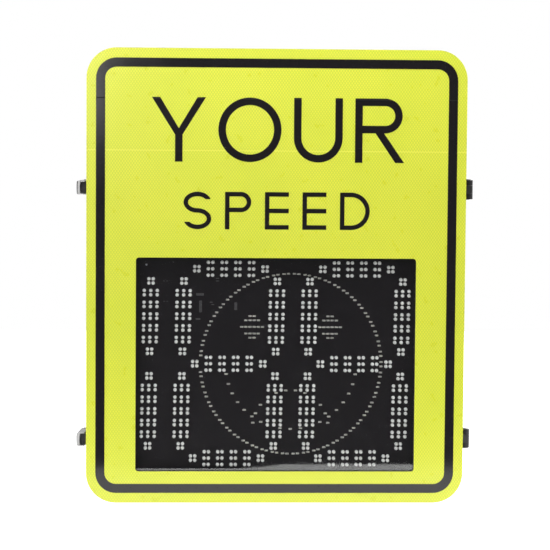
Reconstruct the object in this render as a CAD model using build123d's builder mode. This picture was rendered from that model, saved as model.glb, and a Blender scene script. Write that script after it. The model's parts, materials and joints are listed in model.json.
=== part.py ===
"""Solar speed sign: a hinged sign door with an LED display on a wall- or post-mounted housing.

The sign faces -Y, +X is to the reader's right and +Z is up.  The origin lies on the rear mounting
plane, at the centre of the four post bolts, which is level with the centre of the sign plate.
Every depth below is measured rearwards from the sign's front surface.
"""
import os
from math import cos, hypot, pi, radians, sin, sqrt, tan

from build123d import *

# ---------------------------------------------------------------- driving dimensions (mm)
TOTAL_DEPTH = 168.0  # front surface to the rear mounting plane

PLATE_W, PLATE_H, PLATE_R = 610.0, 732.0, 48.0
PLATE_T = 3.0
SHEETING_T = 0.5
FILM_T = 0.25
PLATE_FRONT = FILM_T + SHEETING_T
PLATE_BACK = PLATE_FRONT + PLATE_T

BORDER_W, BORDER_H, BORDER_R = 579.6, 700.0, 33.0
BORDER_BAND = 14.6

WINDOW_W, WINDOW_H, WINDOW_R = 451.0, 346.0, 5.0
WINDOW_Z = -142.0

CASE_W, CASE_H, CASE_R = 602.0, 724.0, 44.0  # outline shared by the door tray and the housing
SHEET_T = 1.5
TRAY_FLANGE = 22.0
TRAY_LIP = 10.0
TRAY_BACK = 50.0
HOUSING_FRONT = 54.0
HOUSING_BACK = 145.0
HOUSING_WALL = 2.0
HOUSING_REAR_WALL = 2.5
HOUSING_RIM = 12.0
SEAL_GAP = 0.4

LENS_MARGIN, LENS_T = 15.0, 4.0
WINDOW_GASKET_T = 1.5
RETAINER_MARGIN, RETAINER_T = 27.0, 2.0
GASKET_SHOW, RETAINER_SHOW = 2.0, 4.0  # how far each opening stands back from the window edge

BOARD_W, BOARD_H, BOARD_T = 490.0, 385.0, 1.6
BOARD_FRONT = 27.0
CARRIER_W, CARRIER_H, CARRIER_T = 548.0, 410.0, 1.5
CARRIER_FRONT = 36.0

DIGIT_CENTRES = (-75.0, 129.2)
DIGIT_W = 151.3
ONE_X = -203.9
DISPLAY_Z = -142.8
SEGMENT_RISE = 154.4  # between neighbouring horizontal segments
DIGIT_SLANT = 1.0  # degrees, tops lean to the right
LED_D, LED_H = 5.6, 8.2
LED_PAIR = 7.0
FACE_CENTRE = (25.8, DISPLAY_Z)

FITTING_HEIGHTS = {"upper": 141.5, "lower": -267.5}  # the hinge and the latch on each level
HINGE_H, HINGE_KNUCKLE_D, HINGE_PIN_D = 31.0, 17.0, 7.0
HINGE_AXIS_X = 322.4 - HINGE_KNUCKLE_D / 2
HINGE_AXIS_DEPTH = (TRAY_BACK + HOUSING_FRONT) / 2
HINGE_LEAF_T, HINGE_LEAF_L = 4.0, 26.0
KNUCKLE_GAP = 0.4

LATCH_W = 22.2
LATCH_CROWN_RISE = 1.2
LATCH_SHOULDER_R = 2.6
LATCH_SHEET = 1.5
LATCH_LENGTH = 53.0  # pivot to nose
LATCH_PIVOT_DEPTH = 84.0
LATCH_PIVOT_OUT = 8.0  # out from the side wall
LATCH_CROWN = 8.9  # crown above the pivot
LATCH_NOSE_D = 5.6
LATCH_LIFT = 5.0  # degrees between fully home and the released position modelled here
LATCH_PIN_D = 5.0

RAIL_Z = 220.0
RAIL_LENGTH = 470.0
RAIL_DEPTH = TOTAL_DEPTH - HOUSING_BACK
RAIL_SHEET = 2.5
RAIL_WEB = 46.0
RAIL_FLANGE = 22.0
POST_BOLT_X = 60.0
POST_BOLT_D = 11.0

BATTERY_W, BATTERY_D, BATTERY_H = 181.0, 76.0, 167.0

FIT = 0.1  # radial clearance of a screw in its hole
LOOSE_FIT = 0.3  # radial clearance of a stud in its hole
THREAD_FIT = 0.05  # radial clearance between a thread and its nut, and round a hinge pin
SIDE_CUT = 12.0  # length of the cutters that pass through a side or bottom wall


UNDER = (Align.CENTER, Align.CENTER, Align.MAX)  # a cylinder or box below its local origin
OVER = (Align.CENTER, Align.CENTER, Align.MIN)  # and above it


# ---------------------------------------------------------------- helpers
def behind(depth):
    """Plane facing the reader, at a depth behind the sign's front surface."""
    return Plane.XZ.offset(TOTAL_DEPTH - depth)


def depth_y(depth):
    """Y coordinate of a depth behind the sign's front surface."""
    return depth - TOTAL_DEPTH


def case_outline(inset=0.0, mode=Mode.ADD):
    """Rounded outline of the door tray and the housing, moved inwards by inset."""
    RectangleRounded(CASE_W - 2 * inset, CASE_H - 2 * inset, CASE_R - inset, mode=mode)


def window_outline(margin=0.0, mode=Mode.ADD):
    """Outline of the display window, grown outwards by margin."""
    with Locations((0, WINDOW_Z)):
        RectangleRounded(WINDOW_W + 2 * margin, WINDOW_H + 2 * margin, WINDOW_R + margin / 2, mode=mode)


def pan_screw(diameter, length):
    """Pan-head screw: the head sits on local +Z, the shank runs to -Z."""
    head_h = 0.55 * diameter
    recess_length, recess_width = 1.1 * diameter, 0.18 * diameter
    with BuildPart() as screw:
        Cylinder(diameter / 2, length, align=UNDER)
        Cylinder(0.95 * diameter, head_h, align=OVER)
        fillet(screw.edges().sort_by(Axis.Z)[-1], 0.3 * diameter)
        with BuildSketch(Plane.XY.offset(head_h)):
            Rectangle(recess_length, recess_width)
            Rectangle(recess_width, recess_length)
        extrude(amount=-0.25 * diameter, mode=Mode.SUBTRACT)
    return screw.part


def hex_nut(diameter):
    """Hexagon nut standing on local Z = 0."""
    with BuildPart() as nut:
        with BuildSketch():
            RegularPolygon(0.9 * diameter, 6)
            Circle(diameter / 2 + THREAD_FIT, mode=Mode.SUBTRACT)
        extrude(amount=0.8 * diameter)
    return nut.part


def hex_bolt(diameter, length):
    """Hexagon bolt: the head sits on local +Z, the shank runs to -Z."""
    with BuildPart() as bolt:
        Cylinder(diameter / 2, length, align=UNDER)
        with BuildSketch():
            RegularPolygon(0.9 * diameter, 6)
        extrude(amount=0.6 * diameter)
    return bolt.part


def facing(x, depth, z, direction):
    """Plane at a point, with its normal along direction (a world vector)."""
    return Plane(origin=(x, depth_y(depth), z), z_dir=direction)


REARWARDS, FORWARDS = (0, 1, 0), (0, -1, 0)
OUT_LEFT, OUT_RIGHT, DOWN = (-1, 0, 0), (1, 0, 0), (0, 0, -1)
finished = {}


def finish(builder, name):
    """Label a finished sub-part and keep it for export."""
    builder.part.label = name
    finished[name] = builder.part


# ---------------------------------------------------------------- sign face
with BuildPart() as sign_plate:
    with BuildSketch(behind(PLATE_BACK)):
        RectangleRounded(PLATE_W, PLATE_H, PLATE_R)
        window_outline(mode=Mode.SUBTRACT)
    extrude(amount=PLATE_T)
finish(sign_plate, "sign_plate")

with BuildPart() as reflective_sheeting:
    with BuildSketch(behind(PLATE_FRONT)):
        RectangleRounded(PLATE_W, PLATE_H, PLATE_R)
        window_outline(mode=Mode.SUBTRACT)
    extrude(amount=SHEETING_T)
finish(reflective_sheeting, "reflective_sheeting")

with BuildPart() as border_film:
    with BuildSketch(behind(FILM_T)):
        RectangleRounded(BORDER_W, BORDER_H, BORDER_R)
        RectangleRounded(
            BORDER_W - 2 * BORDER_BAND, BORDER_H - 2 * BORDER_BAND, BORDER_R - BORDER_BAND, mode=Mode.SUBTRACT
        )
    extrude(amount=FILM_T)
finish(border_film, "border_film")


# ---------------------------------------------------------------- legend, drawn from plain strokes
def bar(x0, z0, x1, z1):
    """Upright or level bar between two corners."""
    with Locations(((x0 + x1) / 2, (z0 + z1) / 2)):
        Rectangle(abs(x1 - x0), abs(z1 - z0))


def bowl(left, right, low, high, stroke):
    """Half-round bowl that opens to the left, with straight arms."""
    radius = (high - low) / 2
    middle = (high + low) / 2
    bar(left, low, right - radius, low + stroke)
    bar(left, high - stroke, right - radius, high)
    with BuildLine() as outer:
        arc = CenterArc((right - radius, middle), radius, -90, 180)
        Line(arc @ 0, arc @ 1)
    make_face(outer.edges())
    with BuildLine() as inner:
        hollow = CenterArc((right - radius, middle), radius - stroke, -90, 180)
        Line(hollow @ 0, hollow @ 1)
    make_face(inner.edges(), mode=Mode.SUBTRACT)


def letter_y(x, z, width, height, stroke):
    fork = z + 0.42 * height
    reach = 1.12 * stroke
    bar(x + (width - stroke) / 2, z, x + (width + stroke) / 2, fork)
    for side in (-1, 1):
        tip = x + width / 2 + side * width / 2
        foot = x + width / 2
        with BuildLine() as arm:
            Polyline(
                (tip, z + height),
                (tip - side * reach, z + height),
                (foot - side * stroke / 2, fork),
                (foot + side * stroke / 2, fork),
                (tip, z + height),
            )
        make_face(arm.edges())


def letter_o(x, z, width, height, stroke):
    with Locations((x + width / 2, z + height / 2)):
        Ellipse(width / 2, height / 2)
        Ellipse(width / 2 - stroke, height / 2 - stroke, mode=Mode.SUBTRACT)


def letter_u(x, z, width, height, stroke):
    radius = width / 2
    bar(x, z + radius, x + stroke, z + height)
    bar(x + width - stroke, z + radius, x + width, z + height)
    with BuildLine() as bend:
        arc = CenterArc((x + radius, z + radius), radius, 180, 180)
        inner = CenterArc((x + radius, z + radius), radius - stroke, 180, 180)
        Line(arc @ 0, inner @ 0)
        Line(arc @ 1, inner @ 1)
    make_face(bend.edges())


def letter_p(x, z, width, height, stroke):
    bowl(x + stroke / 2, x + width, z + 0.46 * height, z + height, stroke)
    bar(x, z, x + stroke, z + height)


def letter_r(x, z, width, height, stroke):
    letter_p(x, z, width, height, stroke)
    waist = z + 0.47 * height
    start = x + 0.42 * width
    with BuildLine() as leg:
        Polyline(
            (start, waist),
            (start + 1.15 * stroke, waist),
            (x + width * 1.04, z),
            (x + width * 1.04 - 1.2 * stroke, z),
            (start, waist),
        )
    make_face(leg.edges())


def letter_e(x, z, width, height, stroke):
    for level in (0, (height - stroke) / 2, height - stroke):
        bar(x, z + level, x + width, z + level + stroke)
    bar(x, z, x + stroke, z + height)


def letter_d(x, z, width, height, stroke):
    bowl(x + stroke / 2, x + width, z, z + height, stroke)
    bar(x, z, x + stroke, z + height)


def letter_s(x, z, width, height, stroke):
    """Two elliptical bowls, open on opposite sides, that share the middle stroke."""
    middle = z + height / 2
    for side in (1, -1):
        radius_z = (height / 2 + stroke / 2) / 2
        centre_z = middle + side * (height / 2 - radius_z)
        with BuildSketch(mode=Mode.PRIVATE) as half:
            with Locations((x + width / 2, centre_z)):
                Ellipse(width / 2, radius_z)
                Ellipse(width / 2 - stroke, radius_z - stroke, mode=Mode.SUBTRACT)
            gap_low, gap_high = sorted((centre_z + side * 0.30 * radius_z, middle - side * stroke / 2))
            with Locations((x + width / 2 + side * width / 2, (gap_low + gap_high) / 2)):
                Rectangle(width, gap_high - gap_low, mode=Mode.SUBTRACT)
        add(half.sketch)


LETTERS = {
    "Y": (letter_y, 0.84),
    "O": (letter_o, 0.98),
    "U": (letter_u, 0.76),
    "R": (letter_r, 0.74),
    "S": (letter_s, 0.74),
    "P": (letter_p, 0.70),
    "E": (letter_e, 0.64),
    "D": (letter_d, 0.80),
}


def write_line(word, cap_height, base_z, stroke, gap):
    """Centred line of letters; each letter's width is its own share of the cap height."""
    widths = [LETTERS[letter][1] * cap_height for letter in word]
    x = -(sum(widths) + gap * (len(word) - 1)) / 2
    for letter, width in zip(word, widths):
        LETTERS[letter][0](x, base_z, width, cap_height, stroke)
        x += width + gap


with BuildPart() as legend_film:
    with BuildSketch(behind(FILM_T)):
        write_line("YOUR", cap_height=103.0, base_z=185.0, stroke=12.0, gap=20.0)
        write_line("SPEED", cap_height=60.0, base_z=77.0, stroke=7.2, gap=22.0)
    extrude(amount=FILM_T)
finish(legend_film, "legend_film")

# ---------------------------------------------------------------- display window
GASKET_BACK = PLATE_BACK + WINDOW_GASKET_T
LENS_BACK = GASKET_BACK + LENS_T
RETAINER_BACK = LENS_BACK + RETAINER_T
STUD_D = 4.0
STUD_LENGTH = 13.0
STUD_MARGIN = 21.0  # from the window edge to the row of studs
TRAY_STUD_INSET = 13.0  # from the case outline to the row of studs

window_studs = []
tray_studs = []
for side in (-1, 1):
    for x in (-200.0, -70.0, 70.0, 200.0):
        window_studs.append((x, WINDOW_Z + side * (WINDOW_H / 2 + STUD_MARGIN)))
    for z in (-105.0, 105.0):
        window_studs.append((side * (WINDOW_W / 2 + STUD_MARGIN), WINDOW_Z + z))
    for z in (-230.0, 0.0, 230.0):
        tray_studs.append((side * (CASE_W / 2 - TRAY_STUD_INSET), z))
    for x in (-180.0, 0.0, 180.0):
        tray_studs.append((x, side * (CASE_H / 2 - TRAY_STUD_INSET)))

with BuildPart() as window_gasket:
    with BuildSketch(behind(GASKET_BACK)):
        window_outline(margin=LENS_MARGIN)
        window_outline(margin=GASKET_SHOW, mode=Mode.SUBTRACT)
    extrude(amount=WINDOW_GASKET_T)
finish(window_gasket, "window_gasket")

with BuildPart() as window_lens:
    with BuildSketch(behind(LENS_BACK)):
        window_outline(margin=LENS_MARGIN)
    extrude(amount=LENS_T)
finish(window_lens, "window_lens")

with BuildPart() as window_retainer:
    with BuildSketch(behind(RETAINER_BACK)):
        window_outline(margin=RETAINER_MARGIN)
        window_outline(margin=RETAINER_SHOW, mode=Mode.SUBTRACT)
        with Locations(*window_studs):
            Circle(STUD_D / 2 + LOOSE_FIT, mode=Mode.SUBTRACT)
    extrude(amount=RETAINER_T)
finish(window_retainer, "window_retainer")

with BuildPart() as plate_studs:
    with BuildSketch(behind(PLATE_BACK + STUD_LENGTH)):
        with Locations(*window_studs, *tray_studs):
            Circle(STUD_D / 2)
    extrude(amount=STUD_LENGTH)
finish(plate_studs, "plate_studs")

with BuildPart() as plate_stud_nuts:
    with Locations(*[facing(x, RETAINER_BACK, z, REARWARDS) for x, z in window_studs]):
        add(hex_nut(STUD_D))
    with Locations(*[facing(x, PLATE_BACK + SHEET_T, z, REARWARDS) for x, z in tray_studs]):
        add(hex_nut(STUD_D))
finish(plate_stud_nuts, "plate_stud_nuts")

# ---------------------------------------------------------------- side fittings: where they go
HINGE_HOLES = (-8.0, 8.0)  # above and below the hinge's middle
DOOR_LEAF_HOLE = TRAY_BACK - 19.5
FRAME_LEAF_HOLE = HOUSING_FRONT + 19.5
KEEPER_HOLES = (22.0, 31.0)  # depths
BASE_HOLES = (66.5, 96.0)  # depths
SIDE_SCREW_D = 4.0
SIDE_SCREW_HOLE = SIDE_SCREW_D + 2 * FIT
CASE_SIDE = CASE_W / 2


def side_holes(sides_and_depths):
    """Cut screw holes through the side walls: (side, depth, height offset) for both fitting levels."""
    for side, depth, offset in sides_and_depths:
        for level in FITTING_HEIGHTS.values():
            with Locations(facing(side * CASE_SIDE, depth, level + offset, (side, 0, 0))):
                Cylinder(SIDE_SCREW_HOLE / 2, SIDE_CUT, mode=Mode.SUBTRACT)


# ---------------------------------------------------------------- door tray behind the plate
with BuildPart() as door_tray:
    with BuildSketch(behind(TRAY_BACK)):
        case_outline()
    extrude(amount=TRAY_BACK - PLATE_BACK)
    with BuildSketch(behind(TRAY_BACK - SHEET_T)):
        case_outline(inset=SHEET_T)
    extrude(amount=TRAY_BACK - PLATE_BACK - 2 * SHEET_T, mode=Mode.SUBTRACT)
    with BuildSketch(behind(PLATE_BACK + SHEET_T)):
        case_outline(inset=TRAY_FLANGE)
        with Locations(*tray_studs):
            Circle(STUD_D / 2 + LOOSE_FIT)
    extrude(amount=SHEET_T, mode=Mode.SUBTRACT)
    with BuildSketch(behind(TRAY_BACK)):
        case_outline(inset=TRAY_LIP)
    extrude(amount=SHEET_T, mode=Mode.SUBTRACT)
    side_holes([(1, DOOR_LEAF_HOLE, z) for z in HINGE_HOLES] + [(-1, depth, 0) for depth in KEEPER_HOLES])
finish(door_tray, "door_tray")

# ---------------------------------------------------------------- LED board and its carrier
POST_D = 12.0
POST_X = 265.0
POST_RISE = 186.0
POST_THREAD = 12.0
STANDOFF_X, STANDOFF_RISE = 236.0, 184.0
ROWS = (-1, 0, 1)
post_places = [(side * POST_X, WINDOW_Z + row * POST_RISE) for side in (-1, 1) for row in ROWS]
standoff_places = []
for column in ROWS:
    for row in ROWS:
        if column or row:
            standoff_places.append((column * STANDOFF_X, WINDOW_Z + row * STANDOFF_RISE))
STANDOFF_D = 7.0
BOARD_SCREW_D = 3.0
CARRIER_SCREW_D = 5.0
BOARD_BACK = BOARD_FRONT + BOARD_T
CARRIER_BACK = CARRIER_FRONT + CARRIER_T
RADAR_XZ = (-37.0, WINDOW_Z)
RADAR_SIZE = 64.0
CONTROL_XZ = (140.0, -60.0)
CONTROL_W, CONTROL_H = 160.0, 110.0


def four_corners(middle, half_width, half_height):
    """Corners of a rectangle round a middle."""
    return [
        (middle[0] + i * half_width, middle[1] + j * half_height) for i in (-1, 1) for j in (-1, 1)
    ]


control_feet = four_corners(CONTROL_XZ, 73.0, 48.0)
radar_feet = four_corners(RADAR_XZ, 42.0, 42.0)

with BuildPart() as carrier_posts:
    with BuildSketch(behind(CARRIER_FRONT)):
        with Locations(*post_places):
            Circle(POST_D / 2)
    extrude(amount=CARRIER_FRONT - PLATE_BACK)
    with BuildSketch(behind(CARRIER_FRONT)):
        with Locations(*post_places):
            Circle(CARRIER_SCREW_D / 2 + THREAD_FIT)
    extrude(amount=POST_THREAD, mode=Mode.SUBTRACT)
finish(carrier_posts, "carrier_posts")

with BuildPart() as board_carrier:
    with BuildSketch(behind(CARRIER_BACK)):
        with Locations((0, WINDOW_Z)):
            RectangleRounded(CARRIER_W, CARRIER_H, 8.0)
        with Locations(*post_places):
            Circle(CARRIER_SCREW_D / 2 + LOOSE_FIT, mode=Mode.SUBTRACT)
        with Locations(*standoff_places, *control_feet, *radar_feet):
            Circle(BOARD_SCREW_D / 2 + FIT, mode=Mode.SUBTRACT)
        with Locations(RADAR_XZ):
            RectangleRounded(RADAR_SIZE + 4, RADAR_SIZE + 4, 4.0, mode=Mode.SUBTRACT)
        with Locations(*[(x, WINDOW_Z - 165.0) for x in (-150.0, -50.0, 50.0, 150.0)]):
            SlotOverall(60.0, 14.0, mode=Mode.SUBTRACT)
    extrude(amount=CARRIER_T)
finish(board_carrier, "board_carrier")

with BuildPart() as carrier_screws:
    with Locations(*[facing(x, CARRIER_BACK, z, REARWARDS) for x, z in post_places]):
        add(pan_screw(CARRIER_SCREW_D, 10.0))
finish(carrier_screws, "carrier_screws")

with BuildPart() as board_standoffs:
    with BuildSketch(behind(CARRIER_FRONT)):
        with Locations(*standoff_places):
            RegularPolygon(STANDOFF_D / 2, 6)
            Circle(BOARD_SCREW_D / 2 + THREAD_FIT, mode=Mode.SUBTRACT)
    extrude(amount=CARRIER_FRONT - BOARD_BACK)
finish(board_standoffs, "board_standoffs")

with BuildPart() as led_board:
    with BuildSketch(behind(BOARD_BACK)):
        with Locations((0, WINDOW_Z)):
            RectangleRounded(BOARD_W, BOARD_H, 4.0)
        with Locations(*standoff_places):
            Circle(BOARD_SCREW_D / 2 + FIT, mode=Mode.SUBTRACT)
    extrude(amount=BOARD_T)
finish(led_board, "led_board")

with BuildPart() as board_screws:
    with Locations(*[facing(x, BOARD_FRONT, z, FORWARDS) for x, z in standoff_places]):
        add(pan_screw(BOARD_SCREW_D, 12.0))
finish(board_screws, "board_screws")


# ---------------------------------------------------------------- light-emitting diodes
def cluster(x, z):
    """Square of four LEDs."""
    return four_corners((x, z), LED_PAIR / 2, LED_PAIR / 2)


def level_segment(x, z):
    """Level segment: four columns of three level pairs, and a square of four at each end."""
    column_pitch, row_pitch = 22.1, 10.45
    spots = cluster(x - 2.5 * column_pitch, z) + cluster(x + 2.5 * column_pitch, z)
    for column in (-1.5, -0.5, 0.5, 1.5):
        for row in ROWS:
            pair_x, pair_z = x + column * column_pitch, z + row * row_pitch
            spots += [(pair_x - LED_PAIR / 2, pair_z), (pair_x + LED_PAIR / 2, pair_z)]
    return spots


def upright_segment(x, z):
    """Upright segment: five rows of three upright pairs, and a square of four at each end."""
    column_pitch, row_pitch = 10.5, 19.05
    spots = cluster(x, z - 3 * row_pitch) + cluster(x, z + 3 * row_pitch)
    for column in ROWS:
        for row in range(-2, 3):
            pair_x, pair_z = x + column * column_pitch, z + row * row_pitch
            spots += [(pair_x, pair_z - LED_PAIR / 2), (pair_x, pair_z + LED_PAIR / 2)]
    return spots


def slanted(spots):
    """Lean the digits' tops to the right."""
    return [(x + (z - DISPLAY_Z) * tan(radians(DIGIT_SLANT)), z) for x, z in spots]


digit_spots = []
for half_rise in (-SEGMENT_RISE / 2, SEGMENT_RISE / 2):
    digit_spots += upright_segment(ONE_X, DISPLAY_Z + half_rise)
    for centre in DIGIT_CENTRES:
        digit_spots += upright_segment(centre - DIGIT_W / 2, DISPLAY_Z + half_rise)
        digit_spots += upright_segment(centre + DIGIT_W / 2, DISPLAY_Z + half_rise)
for centre in DIGIT_CENTRES:
    for rise in (-SEGMENT_RISE, 0.0, SEGMENT_RISE):
        digit_spots += level_segment(centre, DISPLAY_Z + rise)
digit_spots = slanted(digit_spots)

with BuildPart() as digit_leds:
    with BuildSketch(behind(BOARD_FRONT)):
        with Locations(*digit_spots):
            Circle(LED_D / 2)
    extrude(amount=LED_H)
finish(digit_leds, "digit_leds")


def on_circle(centre, radius, degrees):
    """Place of a face LED on a circle."""
    angle = radians(degrees)
    return centre[0] + radius * cos(angle), centre[1] + radius * sin(angle)


RING_R, RING_PAIRS = 147.0, 54
SMILE_R, FROWN_R, FROWN_DROP = 106.4, 61.6, 104.3
EYE_X, EYE_Z, EYE_PITCH = 63.4, 60.3, 6.7
EYE_ROWS = {17.6: 2, 10.8: 4, 0.0: 6, -10.8: 4, -17.6: 2}  # height in the eye: LEDs in the row
CHIP_W, CHIP_H, CHIP_T = 5.4, 2.6, 2.0
CHIP_ROOM = 0.2  # kept between a face LED and a digit LED

face_places = []
half_pair = LED_PAIR / 2 / RING_R * 180 / pi
for pair in range(RING_PAIRS):
    for side in (-half_pair, half_pair):
        face_places.append(on_circle(FACE_CENTRE, RING_R, pair * 360 / RING_PAIRS + side))
for step in range(19):
    face_places.append(on_circle(FACE_CENTRE, SMILE_R, 189 + 9 * step))
frown_centre = (FACE_CENTRE[0], FACE_CENTRE[1] - FROWN_DROP)
for step in range(12):
    face_places.append(on_circle(frown_centre, FROWN_R, 7.5 + 15 * step))
for side in (-1, 1):
    for rise, count in EYE_ROWS.items():
        for index in range(count):
            x = FACE_CENTRE[0] + side * EYE_X + (index - (count - 1) / 2) * EYE_PITCH
            face_places.append((x, FACE_CENTRE[1] + EYE_Z + rise))


def clear_of_digits(place):
    """True where a face LED fits between the digit LEDs."""
    room_x = LED_D / 2 + CHIP_W / 2 + CHIP_ROOM
    room_z = LED_D / 2 + CHIP_H / 2 + CHIP_ROOM
    return all(hypot((place[0] - x) / room_x, (place[1] - z) / room_z) > 1 for x, z in digit_spots)


with BuildPart() as face_leds:
    with BuildSketch(behind(BOARD_FRONT)):
        with Locations(*filter(clear_of_digits, face_places)):
            RectangleRounded(CHIP_W, CHIP_H, 0.8)
    extrude(amount=CHIP_T)
finish(face_leds, "face_leds")

SENSOR_XZ = (-209.0, 18.0)
SENSOR_D, SENSOR_H = 3.2, 3.0
with BuildPart() as light_sensor:
    with Locations(facing(SENSOR_XZ[0], BOARD_FRONT, SENSOR_XZ[1], FORWARDS)):
        Cylinder(SENSOR_D / 2, SENSOR_H, align=OVER)
    fillet(light_sensor.edges().sort_by(Axis.Y)[0], 1.2)
finish(light_sensor, "light_sensor")

BOARD_COMPONENT_T, DRIVER_CHIP_T = 0.9, 1.8
board_component_places = {
    (2.2, 1.4): [(-165.5, 22.0), (-180.5, -8.5), (-175.5, -8.5), (-180.3, -41.6), (-175.3, -41.6)],
    (5.0, 1.4): [(-94.0, -4.0), (-94.0, -8.2), (-104.0, -42.6), (-101.5, -46.6)],
    (12.5, 4.0): [(-122.2, -30.0)],
    (4.6, 19.0): [(-121.2, -49.7)],
    (4.6, 12.5): [(-64.2, -49.0)],
    (7.5, 2.4): [(-125.3, -70.0)],
}  # width and height: places
with BuildPart() as board_components:
    with BuildSketch(behind(BOARD_FRONT)):
        for (width, height), places in board_component_places.items():
            with Locations(*places):
                Rectangle(width, height)
    extrude(amount=BOARD_COMPONENT_T)
finish(board_components, "board_components")

with BuildPart() as driver_chips:
    with BuildSketch(behind(BOARD_BACK + DRIVER_CHIP_T)):
        for x in (-204.0, -132.0, 58.0, 130.0, 204.0):
            with Locations(*[(x, WINDOW_Z + z) for z in (-120.0, -40.0, 40.0, 120.0)]):
                Rectangle(10.0, 7.0)
    extrude(amount=DRIVER_CHIP_T)
finish(driver_chips, "driver_chips")

# ---------------------------------------------------------------- radar and control board
RADAR_FRONT, RADAR_BACK = 31.5, 43.5
with BuildPart() as radar_module:
    with BuildSketch(behind(RADAR_BACK)):
        with Locations(RADAR_XZ):
            RectangleRounded(RADAR_SIZE, RADAR_SIZE, 3.0)
    extrude(amount=RADAR_BACK - RADAR_FRONT)
    with BuildSketch(behind(RADAR_FRONT + 0.4)):
        with Locations(RADAR_XZ):
            with GridLocations(13.0, 13.0, 4, 4):
                Rectangle(8.0, 8.0)
    extrude(amount=0.8)
finish(radar_module, "radar_module")

BRACKET_T = 1.5
with BuildPart() as radar_bracket:
    with BuildSketch(behind(CARRIER_BACK + BRACKET_T)):
        with Locations(RADAR_XZ):
            RectangleRounded(98.0, 98.0, 6.0)
            RectangleRounded(RADAR_SIZE, RADAR_SIZE, 3.0, mode=Mode.SUBTRACT)
        with Locations(*radar_feet):
            Circle(BOARD_SCREW_D / 2 + FIT, mode=Mode.SUBTRACT)
    extrude(amount=BRACKET_T)
    with BuildSketch(behind(RADAR_BACK + BRACKET_T)):
        with Locations(RADAR_XZ):
            Rectangle(RADAR_SIZE + 2 * BRACKET_T, 20.0)
    extrude(amount=BRACKET_T)
    for side in (-1, 1):
        with BuildSketch(behind(RADAR_BACK)):
            with Locations((RADAR_XZ[0] + side * (RADAR_SIZE + BRACKET_T) / 2, RADAR_XZ[1])):
                Rectangle(BRACKET_T, 20.0)
        extrude(amount=RADAR_BACK - CARRIER_BACK)
finish(radar_bracket, "radar_bracket")

CONTROL_STANDOFF = 6.0
with BuildPart() as control_standoffs:
    with BuildSketch(behind(CARRIER_BACK + CONTROL_STANDOFF)):
        with Locations(*control_feet):
            RegularPolygon(3.2, 6)
            Circle(BOARD_SCREW_D / 2 + THREAD_FIT, mode=Mode.SUBTRACT)
    extrude(amount=CONTROL_STANDOFF)
finish(control_standoffs, "control_standoffs")

CONTROL_FRONT = CARRIER_BACK + CONTROL_STANDOFF
with BuildPart() as control_board:
    with BuildSketch(behind(CONTROL_FRONT + BOARD_T)):
        with Locations(CONTROL_XZ):
            RectangleRounded(CONTROL_W, CONTROL_H, 3.0)
        with Locations(*control_feet):
            Circle(BOARD_SCREW_D / 2 + FIT, mode=Mode.SUBTRACT)
    extrude(amount=BOARD_T)
finish(control_board, "control_board")

# what stands on the control board: offset from its middle, width, height, thickness
CONTROL_PARTS = (
    ((-38.0, 18.0), 22.0, 22.0, 2.5),
    ((20.0, 22.0), 14.0, 14.0, 2.0),
    ((52.0, 0.0), 16.0, 40.0, 11.0),
    ((-5.0, -40.0), 90.0, 10.0, 9.0),
    ((-52.0, -20.0), 12.0, 12.0, 10.0),
    ((15.0, -12.0), 10.0, 24.0, 6.0),
)
with BuildPart() as control_board_parts:
    for (x, z), width, height, thickness in CONTROL_PARTS:
        with BuildSketch(behind(CONTROL_FRONT + BOARD_T + thickness)):
            with Locations((CONTROL_XZ[0] + x, CONTROL_XZ[1] + z)):
                Rectangle(width, height)
        extrude(amount=thickness)
finish(control_board_parts, "control_board_parts")

with BuildPart() as electronics_screws:
    with Locations(*[facing(x, CONTROL_FRONT + BOARD_T, z, REARWARDS) for x, z in control_feet]):
        add(pan_screw(BOARD_SCREW_D, 10.0))
    with Locations(*[facing(x, CARRIER_BACK + BRACKET_T, z, REARWARDS) for x, z in radar_feet]):
        add(pan_screw(BOARD_SCREW_D, 6.0))
finish(electronics_screws, "electronics_screws")

# ---------------------------------------------------------------- housing
BOTTOM_INSIDE = -CASE_H / 2 + HOUSING_WALL
GLAND_D = 20.0
SEAL_BORE, STEM_BORE = 9.0, 14.0
GLAND_DEPTH = 118.0
gland_xs = (-190.0, -140.0)
VENT_X, VENT_D = 190.0, 12.0
EARTH_X, EARTH_D = 120.0, 6.0
RAIL_BOLT_D = 8.0
RAIL_BOLT_X = 215.5
RAIL_BOLT_Z = RAIL_WEB / 2 + RAIL_FLANGE / 2
rail_bolt_places = []
for side in (-1, 1):
    rail_bolt_places += four_corners((0, side * RAIL_Z), RAIL_BOLT_X, RAIL_BOLT_Z)

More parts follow.
